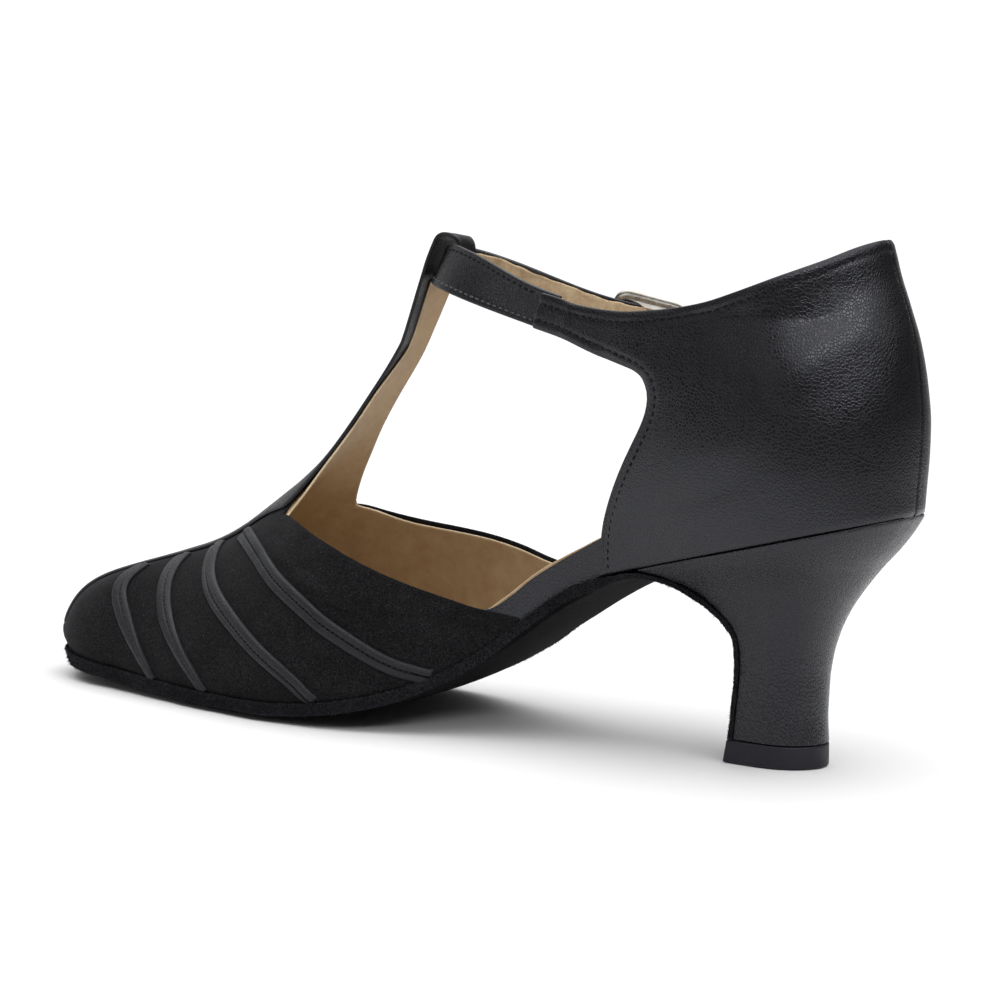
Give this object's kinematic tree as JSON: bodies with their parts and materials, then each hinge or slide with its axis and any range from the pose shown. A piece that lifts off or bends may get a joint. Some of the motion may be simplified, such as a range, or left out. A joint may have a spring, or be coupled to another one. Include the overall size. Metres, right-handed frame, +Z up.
{
  "type": "t-strap heeled shoe",
  "caption": "Closed-toe right shoe with a T-strap, a buckled ankle strap, open sides, leather strips over a suede vamp and a flared leather-covered heel.",
  "frame": {"origin": "on the floor under the middle of the shoe's outside box", "axes": "+X to the toe, +Y to the wearer's left, which is the inner side of a right foot, +Z up"},
  "size_m": [0.2302, 0.075, 0.1212],
  "materials": {
    "suede": "black suede, napped, matte",
    "smooth_leather": "black smooth leather, soft sheen",
    "lining": "tan lining leather, matte",
    "sole_suede": "dark chrome suede sole, matte",
    "rubber": "black heel-tip rubber",
    "nickel": "warm polished nickel"
  },
  "bodies": {
    "root": {"upper": "suede", "insole": "lining", "outsole": "sole_suede", "heel": "smooth_leather", "heel_tip": "rubber", "t_strap": "smooth_leather", "ankle_strap": "smooth_leather", "buckle_frame": "nickel", "buckle_prong": "nickel", "buckle_tab": "smooth_leather", "vamp_strip_inner_1": "smooth_leather", "vamp_strip_inner_2": "smooth_leather", "vamp_strip_inner_3": "smooth_leather", "vamp_strip_inner_4": "smooth_leather", "vamp_strip_outer_1": "smooth_leather", "vamp_strip_outer_2": "smooth_leather", "vamp_strip_outer_3": "smooth_leather", "vamp_strip_outer_4": "smooth_leather"}
  },
  "joints": []
}
